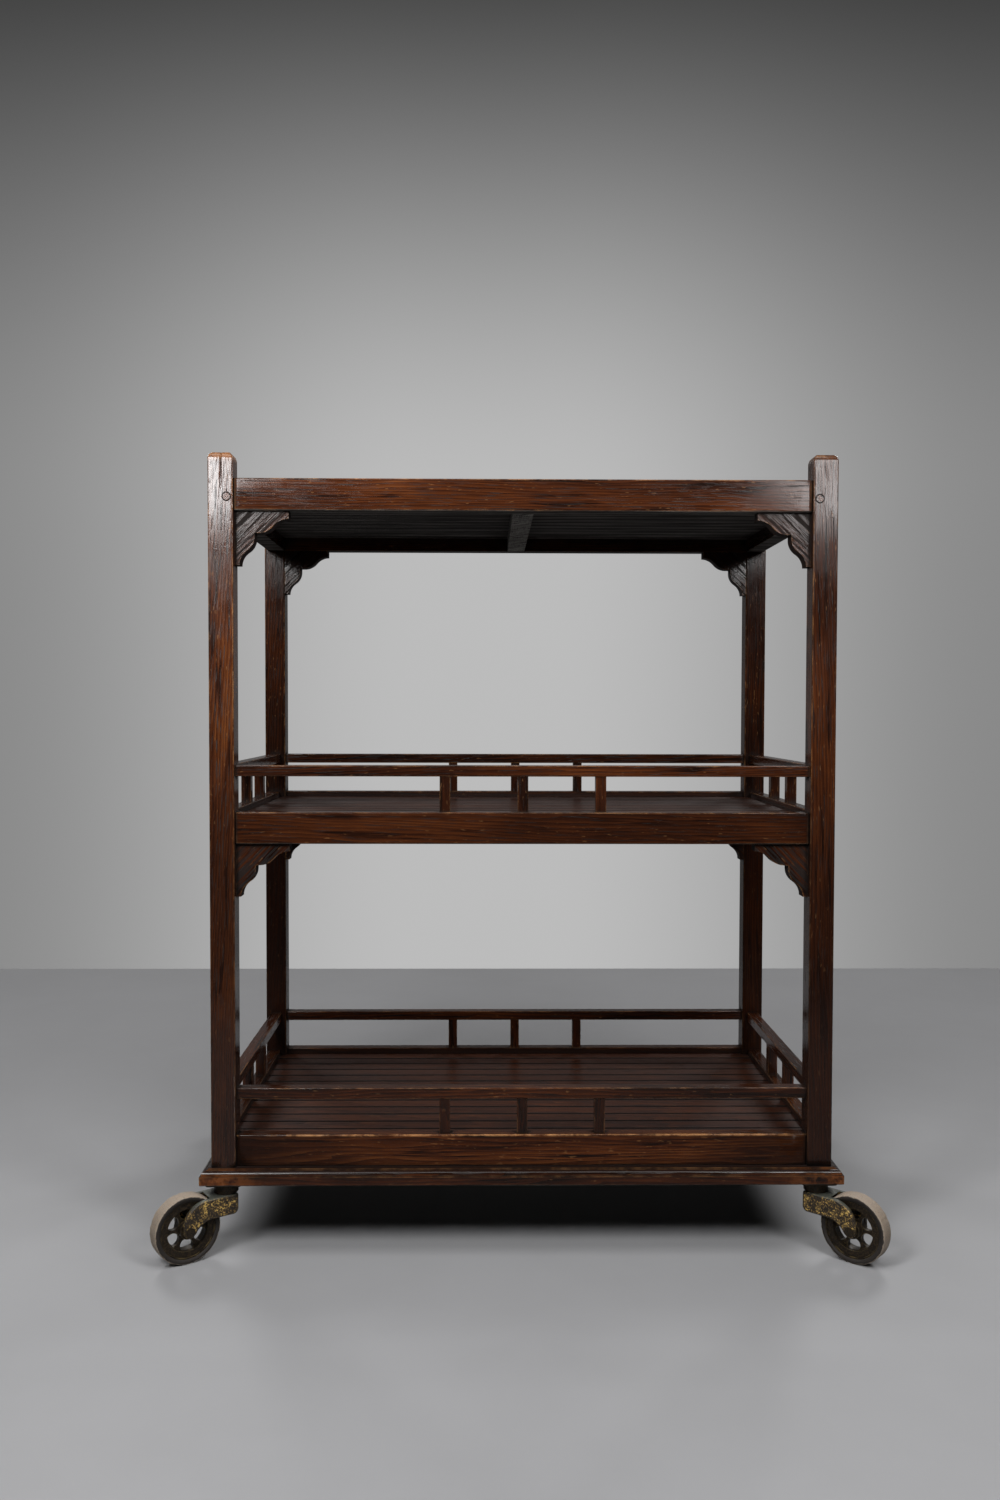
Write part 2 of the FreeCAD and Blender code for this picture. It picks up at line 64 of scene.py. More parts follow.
# Finishes, linear colour
SOOT = (0.0042, 0.0026, 0.0020, 1)
STAIN_BLACK = (0.0068, 0.0028, 0.0018, 1)
STAIN_BROWN = (0.0235, 0.0066, 0.0027, 1)
STAIN_RED = (0.0570, 0.0155, 0.0046, 1)
STAIN_AMBER = (0.1400, 0.0450, 0.0120, 1)
BARE_OAK = (0.4200, 0.2050, 0.0800, 1)
WORN_OAK = (0.2000, 0.0860, 0.0340, 1)
UNDER_DARK = (0.0150, 0.0135, 0.0120, 1)
UNDER_GREY = (0.1050, 0.1000, 0.0920, 1)
SAWN_DARK = (0.0300, 0.0290, 0.0260, 1)
SAWN_GREY = (0.2600, 0.2550, 0.2350, 1)
DUST = (0.2200, 0.1850, 0.1500, 1)
IRON_BLACK = (0.0120, 0.0095, 0.0075, 1)
BRONZE_BROWN = (0.0450, 0.0300, 0.0160, 1)
OLD_GILT = (0.1700, 0.1050, 0.0330, 1)
GILT = (0.6200, 0.4200, 0.1200, 1)
DULL_BRASS = (0.1700, 0.1250, 0.0560, 1)
VERDIGRIS = (0.0900, 0.0980, 0.0800, 1)
STEEL_GREY = (0.1200, 0.1150, 0.1080, 1)
RUBBER_BLACK = (0.0150, 0.0120, 0.0105, 1)
TREAD_BEIGE = (0.2600, 0.2000, 0.1480, 1)
FLOOR_PAINT = (0.2500, 0.2495, 0.2560, 1)
FLOOR_SCUFFED = (0.2430, 0.2425, 0.2485, 1)
WALL_LOW = (0.5000, 0.5000, 0.5000, 1)
WALL_HIGH = (0.0300, 0.0300, 0.0295, 1)
WALL_DIM = (0.0, 0.0, 0.0, 1)
STAIN_RAMP = ((0.08, STAIN_BLACK), (0.36, STAIN_BROWN), (0.62, STAIN_RED), (0.92, STAIN_AMBER))
GILT_RAMP = ((0.42, IRON_BLACK), (0.50, BRONZE_BROWN), (0.55, OLD_GILT), (0.61, GILT))

# How dark, how rubbed and how glossy each piece of oak is: a larger shade is darker; on the back posts it is
# partly painted shade
OAK_LINES = 0.30
OAK_GLOSS = 0.18
OAK_BUMP = 0.00012
# The back posts are darker partly as painted shade, for the shadow of the top tray on them
POST_SHADE = {"front_left": -0.06, "front_right": 0.05, "back_left": 0.20, "back_right": 0.16}
POST_WEAR = {"front_left": 0.60, "front_right": 0.35, "back_left": 0.40, "back_right": 0.40}
POST_GLOSS = {"front_left": 0.29, "front_right": 0.19, "back_left": 0.06, "back_right": 0.06}
POST_CROWN = {"front_left": 0.85, "front_right": 0.12, "back_left": 0.50, "back_right": 0.50}
RAIL_SHADE = {"top": 0.0, "middle": 0.08, "lower": -0.09}
RAIL_WEAR = 0.60
RAIL_GLOSS = {"top": 0.15, "middle": 0.12, "lower": 0.10}
HANDRAIL_SHADE = 0.15
HANDRAIL_WEAR = 0.40
SPINDLE_SHADE = 0.16
SPINDLE_WEAR = 0.25
SPINDLE_LINES = 0.15
BOARD_SHADE = 0.06
BOARD_WEAR = 0.10
BOARD_GLOSS = 0.13
BOARD_ROUGH = (0.32, 0.40)
BOARD_BUMP = 0.00005
BRACKET_SHADE = {"top": 0.06, "middle": 0.14}
BRACKET_WEAR = 0.40
BRACKET_LINES = 0.15
BRACKET_GLOSS = 0.18
BRACKET_BUMP = 0.00040
BASE_SHADE = 0.12
BASE_WEAR = 0.50
PEG_SHADE = -0.10
PEG_WEAR = 0.0

# The figure of the oak: how many to the metre across the grain, their share along it, and where they show
RING_SCALE = 92.0
RING_DRAW = 0.10
SWAY_SCALE = 24.0
SWAY = 0.030
RING_FADE = (0.30, 0.95)
RING_PORES = (0.25, 1.0)
PORE_SCALE = 1100.0
PORE_DRAW = 0.035
PORE_FADE = (0.54, 0.66)
STAIN_SCALE = 15.0
STAIN_DRAW = 0.20
STREAK_SCALE = 150.0
STREAK_DRAW = 0.055
STREAK_FADE = (0.54, 0.68)
FIBRE_SCALE = 1700.0
FIBRE_DRAW = 0.014
FLECK_SCALE = 480.0
FLECK_DRAW = 0.20
FLECK_FADE = (0.66, 0.73)

# How the grain lies in each piece: its slope, and where the heart of the tree is
GRAIN_SLOPE = 0.035
SLOPE_TURNS = (1.7, 2.9)
HEART_TURN = 2.4
HEART_NEAR = 0.045
HEART_SPREAD = 0.030
GOLDEN_SHARE = 0.618
HEART_STEP = 0.37
BOARD_SLIDE = (3.0, 0.15, 0.15)

# How the figure, the wear, and the dirt and painted shade in corners show through the polish
PLAIN_TONE = 0.47
STAIN_SWING = 1.15
STREAK_DARK = 0.36
FIBRE_SWING = 0.55
PORE_DARK = 0.80
FLECK_PALE = 0.16
RUB_LEAST = 0.08
RUB_PALE = 0.80
EDGE_SAMPLES = 8
ARRIS_REACH = 0.0030
ARRIS_FADE = (0.02, 0.20)
MOULDED_ARRIS = (0.0040, 0.02, 0.22)
CORNER_REACH = 0.020
CORNER_FADE = (0.95, 0.35)
CORNER_DARK = 0.88
POLISH_ROUGH = (0.09, 0.20)
PORE_ROUGH = 0.45
RUB_ROUGH = 0.25
CORNER_ROUGH = 0.80
KNOCK_HEIGHT = 0.14
PORE_HEIGHT = 0.45
FIBRE_HEIGHT = 0.16

# The usual spread of a noise
NOISE_SPREAD = (0.3, 0.7)

# Sawn oak
SAW_SLANT = 0.6
SAW_SCALE = 340.0
SAW_DRAW = 0.12
SAW_SHARE = 0.65
SAWN_FADE = (0.40, 0.58)
SAWN_ROUGH = (0.75, 0.95)
SAWN_BUMP = 0.0010

# Patches in the finishes: how many to the metre, how the noise is made, and where it fades in
RUB_PATCHES = {"scale": 55.0, "detail": 4.0, "roughness": 0.65, "low": 0.42, "high": 0.66}
SMEAR_PATCHES = {"scale": 16.0, "detail": 3.0, "roughness": 0.6, "low": 0.30, "high": 0.72}
KNOCK_PATCHES = {"scale": 130.0, "detail": 2.0, "roughness": 0.5, "low": 0.28, "high": 0.40}
CROWN_PATCHES = {"scale": 160.0, "detail": 3.0, "roughness": 0.6, "low": 0.30, "high": 0.60}
END_PATCHES = {"scale": 70.0, "detail": 4.0, "roughness": 0.65, "low": 0.38, "high": 0.60}
LIP_PATCHES = {"scale": 45.0, "detail": 5.0, "roughness": 0.75, "low": 0.42, "high": 0.62}
TRAY_PATCHES = {"scale": 14.0, "detail": 4.0, "roughness": 0.6, "low": 0.30, "high": 0.70}
# Patches of the painted shade low down
LOW_SHADE_PATCHES = {"scale": 9.0, "detail": 3.0, "roughness": 0.6, "low": 0.25, "high": 0.75}
BRASS_PATCHES = {"scale": 90.0, "detail": 2.0, "roughness": 0.5, "low": 0.40, "high": 0.62}
FLOOR_PATCHES = {"scale": 5.0, "detail": 5.0, "roughness": 0.65, "low": 0.35, "high": 0.65}

# Wear that is cut into the bars
CHEW_STEP = 0.009
CHEW_SCALE = 55.0
CHEW_FINER = 3
CHEW_FINE_SHARE = 0.6
CHEW_DEPTH = 0.0010
CHEW_REACH = 0.003
CHEW_LEAN = 0.25
SHARP_ANGLE = math.radians(35)
CRACK_SHARE = 0.52
CRACK_WIDTH = 0.0009
CRACK_LENGTH = 0.042
CRACK_DEPTH = 0.0030
CRACK_SWAY = 0.6

# Marks on the oak: how far each one reaches and how strongly it covers the stain
CROWN_WEAR = 0.012
CROWN_FULL = 0.2
CROWN_LEAST = 0.2
END_WEAR = 0.10
END_WEAR_SHARE = 0.9
END_DARK = 0.24
END_DARK_SHARE = 0.8
# How dark the painted shade on the upper side of a moulding is
SHOULDER_SHARE = 0.75
LIP_WEAR = (0.0028, 0.0008)
LIP_SHARE = 0.48
UNDER_SHARE = 0.9
UNDER_STREAKS = 120.0
UNDER_DRAW = 0.06
UNDER_FADE = (0.35, 0.65)
TRAY_SHARES = (0.25, 0.60)
# Painted shade towards the floor: where it fades in, how dark it gets and how patchy it is
LOW_SHADE_RISE = (0.80, 0.20)
LOW_SHADE_SHARE = 0.88
LOW_SHADE_PATCHY = (0.6, 1.0)
PEG_RING = 1.10
PEG_RING_FADE = (0.36, 0.12)
PEG_PROUD = 0.01
SEAM_FADE = (0.37, 0.435)
BRACKET_TURN = math.radians(45)
BRACKET_GRAIN = 0.65
BRACKET_PORES = 900.0
BRACKET_PORE_DRAW = 0.03
BRACKET_PORE_FADE = (0.50, 0.58)
BRACKET_SHARE = 0.85

# Which way a surface faces for a mark to fade in on it
SIDE_FACING = (0.6, 0.2)
SHOULDER_FACING = (0.1, 0.6)
UNDER_FACING = (-0.3, -0.6)

# How dull each mark leaves the polish
WORN_DULL = 0.4
LIP_DULL = 0.6
DARK_MARK_DULL = 0.2
LOW_SHADE_DULL = 0.22
TRAY_DULL = 0.55
DIRT_DULL = 0.9
BRACKET_DULL = 0.95
UNDER_DULL = 1.0

# Casters: grit to the metre, where the wear shows, how rough the surface is and how deep its bumps are
FORK_GRIT = 500.0
FORK_PATCHES = 130.0
FORK_PATCH_SHARE = 0.3
FORK_IRON = (0.35, 0.65)
FORK_ARRIS = (0.0060, 0.01, 0.14)
FORK_FACING = (0.55, 0.90)
FORK_GREEN = 0.75
FORK_SPREAD = (0.35, 0.70)
FORK_ROUGH = (0.42, 0.70)
FORK_BUMP = 0.0006
WHEEL_GRIT = 500.0
WHEEL_BROWN = (0.4, 0.7)
WHEEL_LIP = (0.0022, 0.02, 0.30)
WHEEL_BRASS = 0.75
WHEEL_ROUGH = (0.40, 0.62)
WHEEL_BUMP = 0.0003
STEEL_GRIT = 600.0
STEEL_PLAIN = (0.38, 0.64)
STEEL_ROUGH = (0.40, 0.65)
STEEL_BUMP = 0.0002
TYRE_GRIT = 700.0
TYRE_FELT = 240.0
TYRE_FELT_SHARE = 0.5
TYRE_RAGS = 300.0
TYRE_RAG_SWING = 0.6
TYRE_DUST = (0.35, 0.65)
TYRE_SPECKS = (0.58, 0.72)
TYRE_BROWN = (0.5, 0.8)
TYRE_EDGE = (0.44, 0.56)
TYRE_ROUGH = (0.62, 0.85)
TYRE_BUMP = 0.0008

# Shape of the tyres
TYRE_STEPS = 160
TYRE_SHOULDER = 0.0022
SHOULDER_STEPS = 4
NICK_SCALE = 240.0
NICK_DEPTH = 0.0009

# Floor and light: the front lamps give the sheen on the posts, the others fill
FLOOR_HALF = 1.39
GLOSS_SHARE = 0.12
ROOM_SHARE = 0.015
ROOM_FADE = (0.0, 0.4)
WALL_SHARE = 0.40
WALL_RISE = (0.15, 0.565)
WALL_ASIDE = (0.05, 0.40)
WALL_DIMMING = 0.50
LAMP_AIM = (0.0, -0.1, 0.6)
FRONT_LAMP = (0.35, 0.50)
BACK_LAMP = (0.80, 0.80)
OVERHEAD_LAMP = (1.60, 0.80)
# Each lamp's name, place, watts and size
LAMPS = (
    ("left_softbox", (-0.63, -1.14, 1.22), 19, FRONT_LAMP),
    ("right_softbox", (0.68, -1.14, 1.22), 13, FRONT_LAMP),
    ("back_left_softbox", (-1.6, 2.2, 2.2), 36, BACK_LAMP),
    ("back_right_softbox", (1.6, 2.2, 2.2), 36, BACK_LAMP),
    ("overhead_softbox", (0.0, -0.8, 2.4), 26, OVERHEAD_LAMP),
)

# Camera, fitted to the photo
SENSOR_WIDTH = 36.0
LENS = 30.007
EYE = (-0.04365, -1.61007, 0.6258)
EYE_YAW = math.radians(-0.698)
EYE_PITCH = math.radians(90 - 1.864)
EYE_ROLL = math.radians(0.115)


class Bench:
    """A node tree with short ways to lay and join its nodes."""

    def __init__(self, tree):
        self.tree = tree

    def feed(self, socket, value):
        """Links an output to the socket, or sets a plain value on it."""
        if isinstance(value, bpy.types.NodeSocket):
            self.tree.links.new(value, socket)
        else:
            socket.default_value = value

    def lay(self, kind, inputs=None, **settings):
        node = self.tree.nodes.new(kind)
        for name, value in settings.items():
            setattr(node, name, value)
        for name, value in (inputs or {}).items():
            self.feed(node.inputs[name], value)
        return node

    def sums(self, operation, first, second=0.0, clamp=False):
        node = self.lay("ShaderNodeMath", {0: first, 1: second}, operation=operation, use_clamp=clamp)
        return node.outputs[0]

    def plus(self, first, second, clamp=False):
        return self.sums("ADD", first, second, clamp)

    def minus(self, first, second):
        return self.sums("SUBTRACT", first, second)

    def times(self, first, second):
        return self.sums("MULTIPLY", first, second)

    def larger(self, first, second):
        return self.sums("MAXIMUM", first, second)

    def unsigned(self, value):
        return self.sums("ABSOLUTE", value)

    def swing(self, value, width):
        """A value from 0 to 1, taken to either side of zero."""
        return self.times(self.minus(value, 0.5), width)

    def blend(self, first, second, share):
        """A share of the second value with the rest of the first."""
        return self.plus(self.times(first, 1 - share), self.times(second, share))

    def vectors(self, operation, first, second=(0, 0, 0)):
        node = self.lay("ShaderNodeVectorMath", {0: first, 1: second}, operation=operation)
        return node.outputs["Value" if operation == "DOT_PRODUCT" else "Vector"]

    def scaled(self, vector, factors):
        return self.vectors("MULTIPLY", vector, factors)

    def drawn(self, vector, share):
        """Places drawn out along Z, so that what is laid on them runs with the grain."""
        return self.scaled(vector, (1, 1, share))

    def parts(self, vector):
        return self.lay("ShaderNodeSeparateXYZ", {0: vector}).outputs

    def span(self, value, low, high, start=0.0, end=1.0):
        """The value taken smoothly from low..high to start..end."""
        inputs = {"Value": value, "From Min": low, "From Max": high, "To Min": start, "To Max": end}
        return self.lay("ShaderNodeMapRange", inputs, interpolation_type="SMOOTHSTEP").outputs[0]

    def clouds(self, vector, scale, detail=2.0, roughness=0.5, distortion=0.0):
        inputs = {"Vector": vector, "Scale": scale, "Detail": detail}
        inputs.update({"Roughness": roughness, "Distortion": distortion})
        return self.lay("ShaderNodeTexNoise", inputs).outputs[0]

    def mixed(self, factor, first, second):
        inputs = {0: factor, 6: first, 7: second}
        return self.lay("ShaderNodeMix", inputs, data_type="RGBA").outputs[2]

    def ramp(self, value, stops):
        node = self.lay("ShaderNodeValToRGB", {0: value})
        elements = node.color_ramp.elements
        for index, (place, colour) in enumerate(stops):
            element = elements[index] if index < len(elements) else elements.new(place)
            element.position = place
            element.color = colour
        return node.outputs[0]

    def bumped(self, height, distance):
        inputs = {"Height": height, "Distance": distance, "Strength": 1.0}
        return self.lay("ShaderNodeBump", inputs).outputs[0]


class Finish(Bench):
    """A material with one principled shader, whose plain values are set on its own sockets."""

    def __init__(self, name, plain):
        self.material = bpy.data.materials.new(name)
        self.material.use_nodes = True
        super().__init__(self.material.node_tree)
        self.shader = self.tree.nodes["Principled BSDF"]
        for socket, value in plain.items():
            self.shader.inputs[socket].default_value = value
        self.place = self.lay("ShaderNodeTexCoord").outputs["Object"]

    def wear(self, colour, roughness, normal):
        self.feed(self.shader.inputs["Base Color"], colour)
        self.feed(self.shader.inputs["Roughness"], roughness)
        self.feed(self.shader.inputs["Normal"], normal)
        return self.material

    def patches(self, least, most, scale, detail, roughness, low, high):
        """Soft patches over the piece, from least between them to most in their middles."""
        return self.span(self.clouds(self.place, scale, detail, roughness), low, high, least, most)

    def along(self, axis):
        """How far a point lies along one axis."""
        return self.parts(self.place)[axis]

    def facing(self, axis):
        """How far the surface faces along one axis, from -1 to 1."""
        return self.parts(self.lay("ShaderNodeNewGeometry").outputs["Normal"])[axis]

    def rounded(self, reach):
        return self.lay("ShaderNodeBevel", {"Radius": reach}, samples=EDGE_SAMPLES).outputs[0]

    def sharp_arris(self, reach, low, high):
        """How near a point is to a sharp edge: 1 on the edge, 0 a reach away from it."""
        straight = self.lay("ShaderNodeNewGeometry").outputs["Normal"]
        likeness = self.vectors("DOT_PRODUCT", self.rounded(reach), straight)
        return self.span(self.minus(1.0, likeness), low, high)

    def squared_arris(self, reach):
        """The same on a squared bar whose arrises are rounded: 1 where the surface faces along no axis."""
        parts = self.parts(self.vectors("ABSOLUTE", self.rounded(reach)))
        squarest = self.larger(self.larger(parts["X"], parts["Y"]), parts["Z"])
        return self.span(self.minus(1.0, squarest), *ARRIS_FADE)

    # Ambient occlusion taken into the colour: dirt, and painted shade in corners and recesses
    def corner_dirt_and_shade(self, reach):
        """How shut in a point is: 1 deep in a corner, 0 in the open."""
        node = self.lay("ShaderNodeAmbientOcclusion", {"Distance": reach}, samples=EDGE_SAMPLES)
        return self.span(node.outputs["AO"], *CORNER_FADE)


def new_piece(name, mesh, material):
    """A finished mesh as an object of the scene, at the origin."""
    data = bpy.data.meshes.new(name)
    mesh.to_mesh(data)
    mesh.free()
    data.materials.append(material)
    data.shade_smooth()
    piece = bpy.data.objects.new(name, data)
    bpy.context.scene.collection.objects.link(piece)
    return piece


def dress(node, material):
    """Gives a CAD node its finish."""
    slots = nodes[node].data.materials
    slots.clear()
    slots.append(material)


# Oak

FIGURE_PARTS = ("Rings", "Pores", "Stain", "Streak", "Fibre", "Fleck")
GRAIN_TURNS = {"X": (0.0, -math.pi / 2, 0.0), "Y": (math.pi / 2, 0.0, 0.0), "Z": (0.0, 0.0, 0.0)}


def make_oak_figure():
    """The figure of oak about the Z axis, shared by all the oak."""
    group = bpy.data.node_groups.new("oak_figure", "ShaderNodeTree")
    group.interface.new_socket("Place", in_out="INPUT", socket_type="NodeSocketVector")
    for name in FIGURE_PARTS:
        group.interface.new_socket(name, in_out="OUTPUT", socket_type="NodeSocketFloat")
    bench = Bench(group)
    place = bench.lay("NodeGroupInput").outputs["Place"]
    trunk = bench.drawn(place, RING_DRAW)
    sway = bench.lay("ShaderNodeTexNoise", {"Vector": trunk, "Scale": SWAY_SCALE, "Detail": 3.0}).outputs[1]
    sway = bench.scaled(bench.vectors("SUBTRACT", sway, (0.5, 0.5, 0.5)), (SWAY, SWAY, 0))
    rings = bench.lay(
        "ShaderNodeTexWave",
        {
            "Vector": bench.vectors("ADD", trunk, sway), "Scale": RING_SCALE,
            "Distortion": 2.4, "Detail": 3.0, "Detail Scale": 1.7,
        },
        wave_type="RINGS", rings_direction="Z", wave_profile="SAW",
    ).outputs["Fac"]
    pores = bench.clouds(bench.drawn(place, PORE_DRAW), PORE_SCALE, detail=1.0)
    pores = bench.times(bench.span(pores, *PORE_FADE), bench.span(rings, *RING_FADE, *RING_PORES))
    stain = bench.drawn(place, STAIN_DRAW)
    stain = bench.clouds(stain, STAIN_SCALE, detail=4.0, roughness=0.6, distortion=0.5)
    streak = bench.drawn(place, STREAK_DRAW)
    streak = bench.clouds(streak, STREAK_SCALE, detail=3.0, roughness=0.6, distortion=0.4)
    streak = bench.span(streak, *STREAK_FADE)
    fibre = bench.clouds(bench.drawn(place, FIBRE_DRAW), FIBRE_SCALE, detail=3.0, roughness=0.6)
    fleck = bench.span(bench.clouds(bench.drawn(place, FLECK_DRAW), FLECK_SCALE), *FLECK_FADE)
    bench.lay("NodeGroupOutput", dict(zip(FIGURE_PARTS, (rings, pores, stain, streak, fibre, fleck))))
    return group


oak_figure = make_oak_figure()


def heart(seed):
    """Where the heart of the tree lies from a piece, so that no two pieces share a figure."""
    turn = HEART_TURN * seed
    reach = HEART_NEAR + HEART_SPREAD * math.fmod(GOLDEN_SHARE * seed, 1.0)
    return (reach * math.cos(turn), reach * math.sin(turn), HEART_STEP * seed)


def grain_turn(grain, seed):
    """The turn that lays the grain along Z, with a slight slope that opens the rings into arches."""
    slope = Vector((math.sin(SLOPE_TURNS[0] * seed), math.cos(SLOPE_TURNS[1] * seed), 0.0))
    return Vector(GRAIN_TURNS[grain]) + GRAIN_SLOPE * slope


def figure_in(finish, grain, seed, start):
    """The parts of the oak's figure, with the grain laid along an axis of the piece."""
    turned = finish.lay(
        "ShaderNodeMapping", {"Vector": start, "Rotation": grain_turn(grain, seed), "Location": heart(seed)}
    ).outputs[0]
    oak = finish.lay("ShaderNodeGroup", node_tree=oak_figure)
    finish.feed(oak.inputs["Place"], turned)
    return [oak.outputs[part] for part in FIGURE_PARTS]


def polished_oak(
    name, grain, seed, worn, shade, place=None, marks=(), squared=True,
    lines=OAK_LINES, gloss=OAK_GLOSS, polish=POLISH_ROUGH, bump=OAK_BUMP,
):
    """French-polished oak, stained dark: rubbed to bare wood on its arrises, black with dirt and painted
    shade in its corners.
    """
    finish = Finish(name, {"IOR": 1.5, "Specular IOR Level": gloss})
    start = place(finish) if place else finish.place
    rings, pores, stain, streak, fibre, fleck = figure_in(finish, grain, seed, start)

    tone = finish.minus(PLAIN_TONE + lines / 2 - shade, finish.times(rings, lines))
    tone = finish.plus(tone, finish.swing(stain, STAIN_SWING))
    tone = finish.minus(tone, finish.times(streak, STREAK_DARK))
    tone = finish.plus(tone, finish.swing(fibre, FIBRE_SWING), clamp=True)
    colour = finish.ramp(tone, STAIN_RAMP)
    colour = finish.mixed(finish.times(pores, PORE_DARK), colour, SOOT)
    colour = finish.mixed(finish.times(fleck, FLECK_PALE), colour, BARE_OAK)

    patchy = finish.patches(RUB_LEAST, 1.0, **RUB_PATCHES)
    arris = finish.squared_arris(ARRIS_REACH) if squared else finish.sharp_arris(*MOULDED_ARRIS)
    rubbed = finish.times(finish.times(arris, patchy), RUB_PALE * worn)
    colour = finish.mixed(rubbed, colour, BARE_OAK)
    # Dirt and painted shade: corners and recesses blackened by how shut in they are
    dirt = finish.corner_dirt_and_shade(CORNER_REACH)
    colour = finish.mixed(finish.times(dirt, CORNER_DARK), colour, SOOT)

    rough = finish.patches(*polish, **SMEAR_PATCHES)
    rough = finish.plus(rough, finish.times(pores, PORE_ROUGH))
    rough = finish.plus(rough, finish.times(rubbed, RUB_ROUGH), clamp=True)
    rough = finish.larger(rough, finish.times(dirt, CORNER_ROUGH))
    for mark in marks:
        mask, tint, dullness = mark(finish)
        colour = finish.mixed(mask, colour, tint)
        rough = finish.larger(rough, finish.times(mask, dullness))

    knocks = finish.patches(0.0, 1.0, **KNOCK_PATCHES)
    height = finish.minus(finish.times(knocks, KNOCK_HEIGHT), finish.times(pores, PORE_HEIGHT))
    height = finish.plus(height, finish.times(fibre, FIBRE_HEIGHT))
    return finish.wear(colour, rough, finish.bumped(height, bump))


def sawn_oak(name, seed):
    """Sawn oak that was never polished, gone grey, with the saw's slanting marks."""
    finish = Finish(name, {"IOR": 1.45, "Specular IOR Level": 0.1})
    fibre = figure_in(finish, "Y", seed, finish.place)[FIGURE_PARTS.index("Fibre")]
    slant = {"Vector": finish.place, "Rotation": (0, 0, SAW_SLANT)}
    slanting = finish.lay("ShaderNodeMapping", slant).outputs[0]
    saw = finish.clouds(finish.scaled(slanting, (SAW_DRAW, 1.0, 1.0)), SAW_SCALE)
    cuts = finish.blend(fibre, saw, SAW_SHARE)
    colour = finish.mixed(finish.span(cuts, *SAWN_FADE), SAWN_DARK, SAWN_GREY)
    rough = finish.span(cuts, *NOISE_SPREAD, *SAWN_ROUGH)
    return finish.wear(colour, rough, finish.bumped(cuts, SAWN_BUMP))


# Marks on the oak: each gives where it lies, its colour and how dull it leaves the polish

def worn_crown(node, bare):
    """The top of a post, handled until the stain has gone."""
    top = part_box(node)[1].z

    def mark(finish):
        near = finish.span(finish.along("Z"), top - CROWN_WEAR, top - CROWN_FULL * CROWN_WEAR)
        patchy = finish.patches(CROWN_LEAST * bare, bare, **CROWN_PATCHES)
        return finish.times(near, patchy), WORN_OAK, WORN_DULL

    return mark


def near_ends(finish, node, axis, reach):
    """How near a point is to either end of a piece: 1 at the end, 0 a reach away from it."""
    low, high = [getattr(corner, axis.lower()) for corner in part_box(node)]
    half = (high - low) / 2
    away = finish.unsigned(finish.minus(finish.along(axis), (low + high) / 2))
    return finish.span(away, half - reach, half)


def worn_ends(node, axis):
    """The face of a moulding, rubbed to amber at both ends."""

    def mark(finish):
        face = finish.span(finish.facing("Z"), *SIDE_FACING)
        patchy = finish.patches(0.0, END_WEAR_SHARE, **END_PATCHES)
        near = finish.times(near_ends(finish, node, axis, END_WEAR), face)
        return finish.times(near, patchy), STAIN_AMBER, WORN_DULL

    return mark


def dark_ends(node, axis):
    """Old polish gathered dark at both ends of a rail."""

    def mark(finish):
        near = near_ends(finish, node, axis, END_DARK)
        return finish.times(near, END_DARK_SHARE), STAIN_BLACK, DARK_MARK_DULL

    return mark


def shaded_shoulder(finish):
    """Painted shade on the upper side of a moulding, which is blackened there and left duller."""
    upper = finish.span(finish.facing("Z"), *SHOULDER_FACING, 0.0, SHOULDER_SHARE)
    return upper, STAIN_BLACK, DARK_MARK_DULL


def worn_lip(node):
    """The upper front edge of a rail, scuffed through to the wood."""
    low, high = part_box(node)
    edge = high.z - low.y

    def mark(finish):
        parts = finish.parts(finish.place)
        near = finish.span(finish.minus(parts["Z"], parts["Y"]), edge - LIP_WEAR[0], edge - LIP_WEAR[1])
        patchy = finish.patches(0.0, LIP_SHARE, **LIP_PATCHES)
        return finish.times(near, patchy), BARE_OAK, LIP_DULL

    return mark


def peg_ring(node):
    """The dirt that has settled round the peg in a post."""
    low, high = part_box(node)
    pegs = [vertex.co for vertex in nodes["joint_pegs"].data.vertices]
    front, back = low.y - PEG_PROUD, high.y + PEG_PROUD
    peg = [place for place in pegs if low.x < place.x < high.x and front < place.y < back]
    left, right = [end(place.x for place in peg) for end in (min, max)]
    bottom, top = [end(place.z for place in peg) for end in (min, max)]
    radius = (right - left) / 2

    def mark(finish):
        parts = finish.parts(finish.place)
        across = finish.minus(parts["X"], (left + right) / 2)
        above = finish.minus(parts["Z"], (bottom + top) / 2)
        squares = finish.plus(finish.times(across, across), finish.times(above, above))
        off = finish.unsigned(finish.minus(finish.sums("SQRT", squares), PEG_RING * radius))
        return finish.span(off, *[fade * radius for fade in PEG_RING_FADE]), SOOT, DIRT_DULL

    return mark


def bare_under(finish):
    """An underside that was stained in streaks but never polished."""
    drawn = finish.scaled(finish.place, (UNDER_DRAW, 1.0, 1.0))
    streaks = finish.span(finish.clouds(drawn, UNDER_STREAKS, detail=3.0), *UNDER_FADE)
    tint = finish.mixed(streaks, UNDER_DARK, UNDER_GREY)
    return finish.span(finish.facing("Z"), *UNDER_FACING, 0.0, UNDER_SHARE), tint, UNDER_DULL


def open_pores(finish):
    """The open pores of a bracket: fine straight lines along its grain."""
    drawn = finish.drawn(bracket_place(finish), BRACKET_PORE_DRAW)
    lines = finish.clouds(drawn, BRACKET_PORES, detail=1.0)
    return finish.span(lines, *BRACKET_PORE_FADE, 0.0, BRACKET_SHARE), SOOT, BRACKET_DULL


def sawn_edge(finish):
    """The shaped edge of a bracket, stained but not polished: it faces neither forward nor back."""
    edge = finish.span(finish.unsigned(finish.facing("Y")), *SIDE_FACING, 0.0, BRACKET_SHARE)
    return edge, STAIN_BLACK, BRACKET_DULL


def tray_rub(finish):
    """The polish of a tray, dulled in patches by what has stood on it."""
    return finish.patches(*TRAY_SHARES, **TRAY_PATCHES), STAIN_BROWN, TRAY_DULL


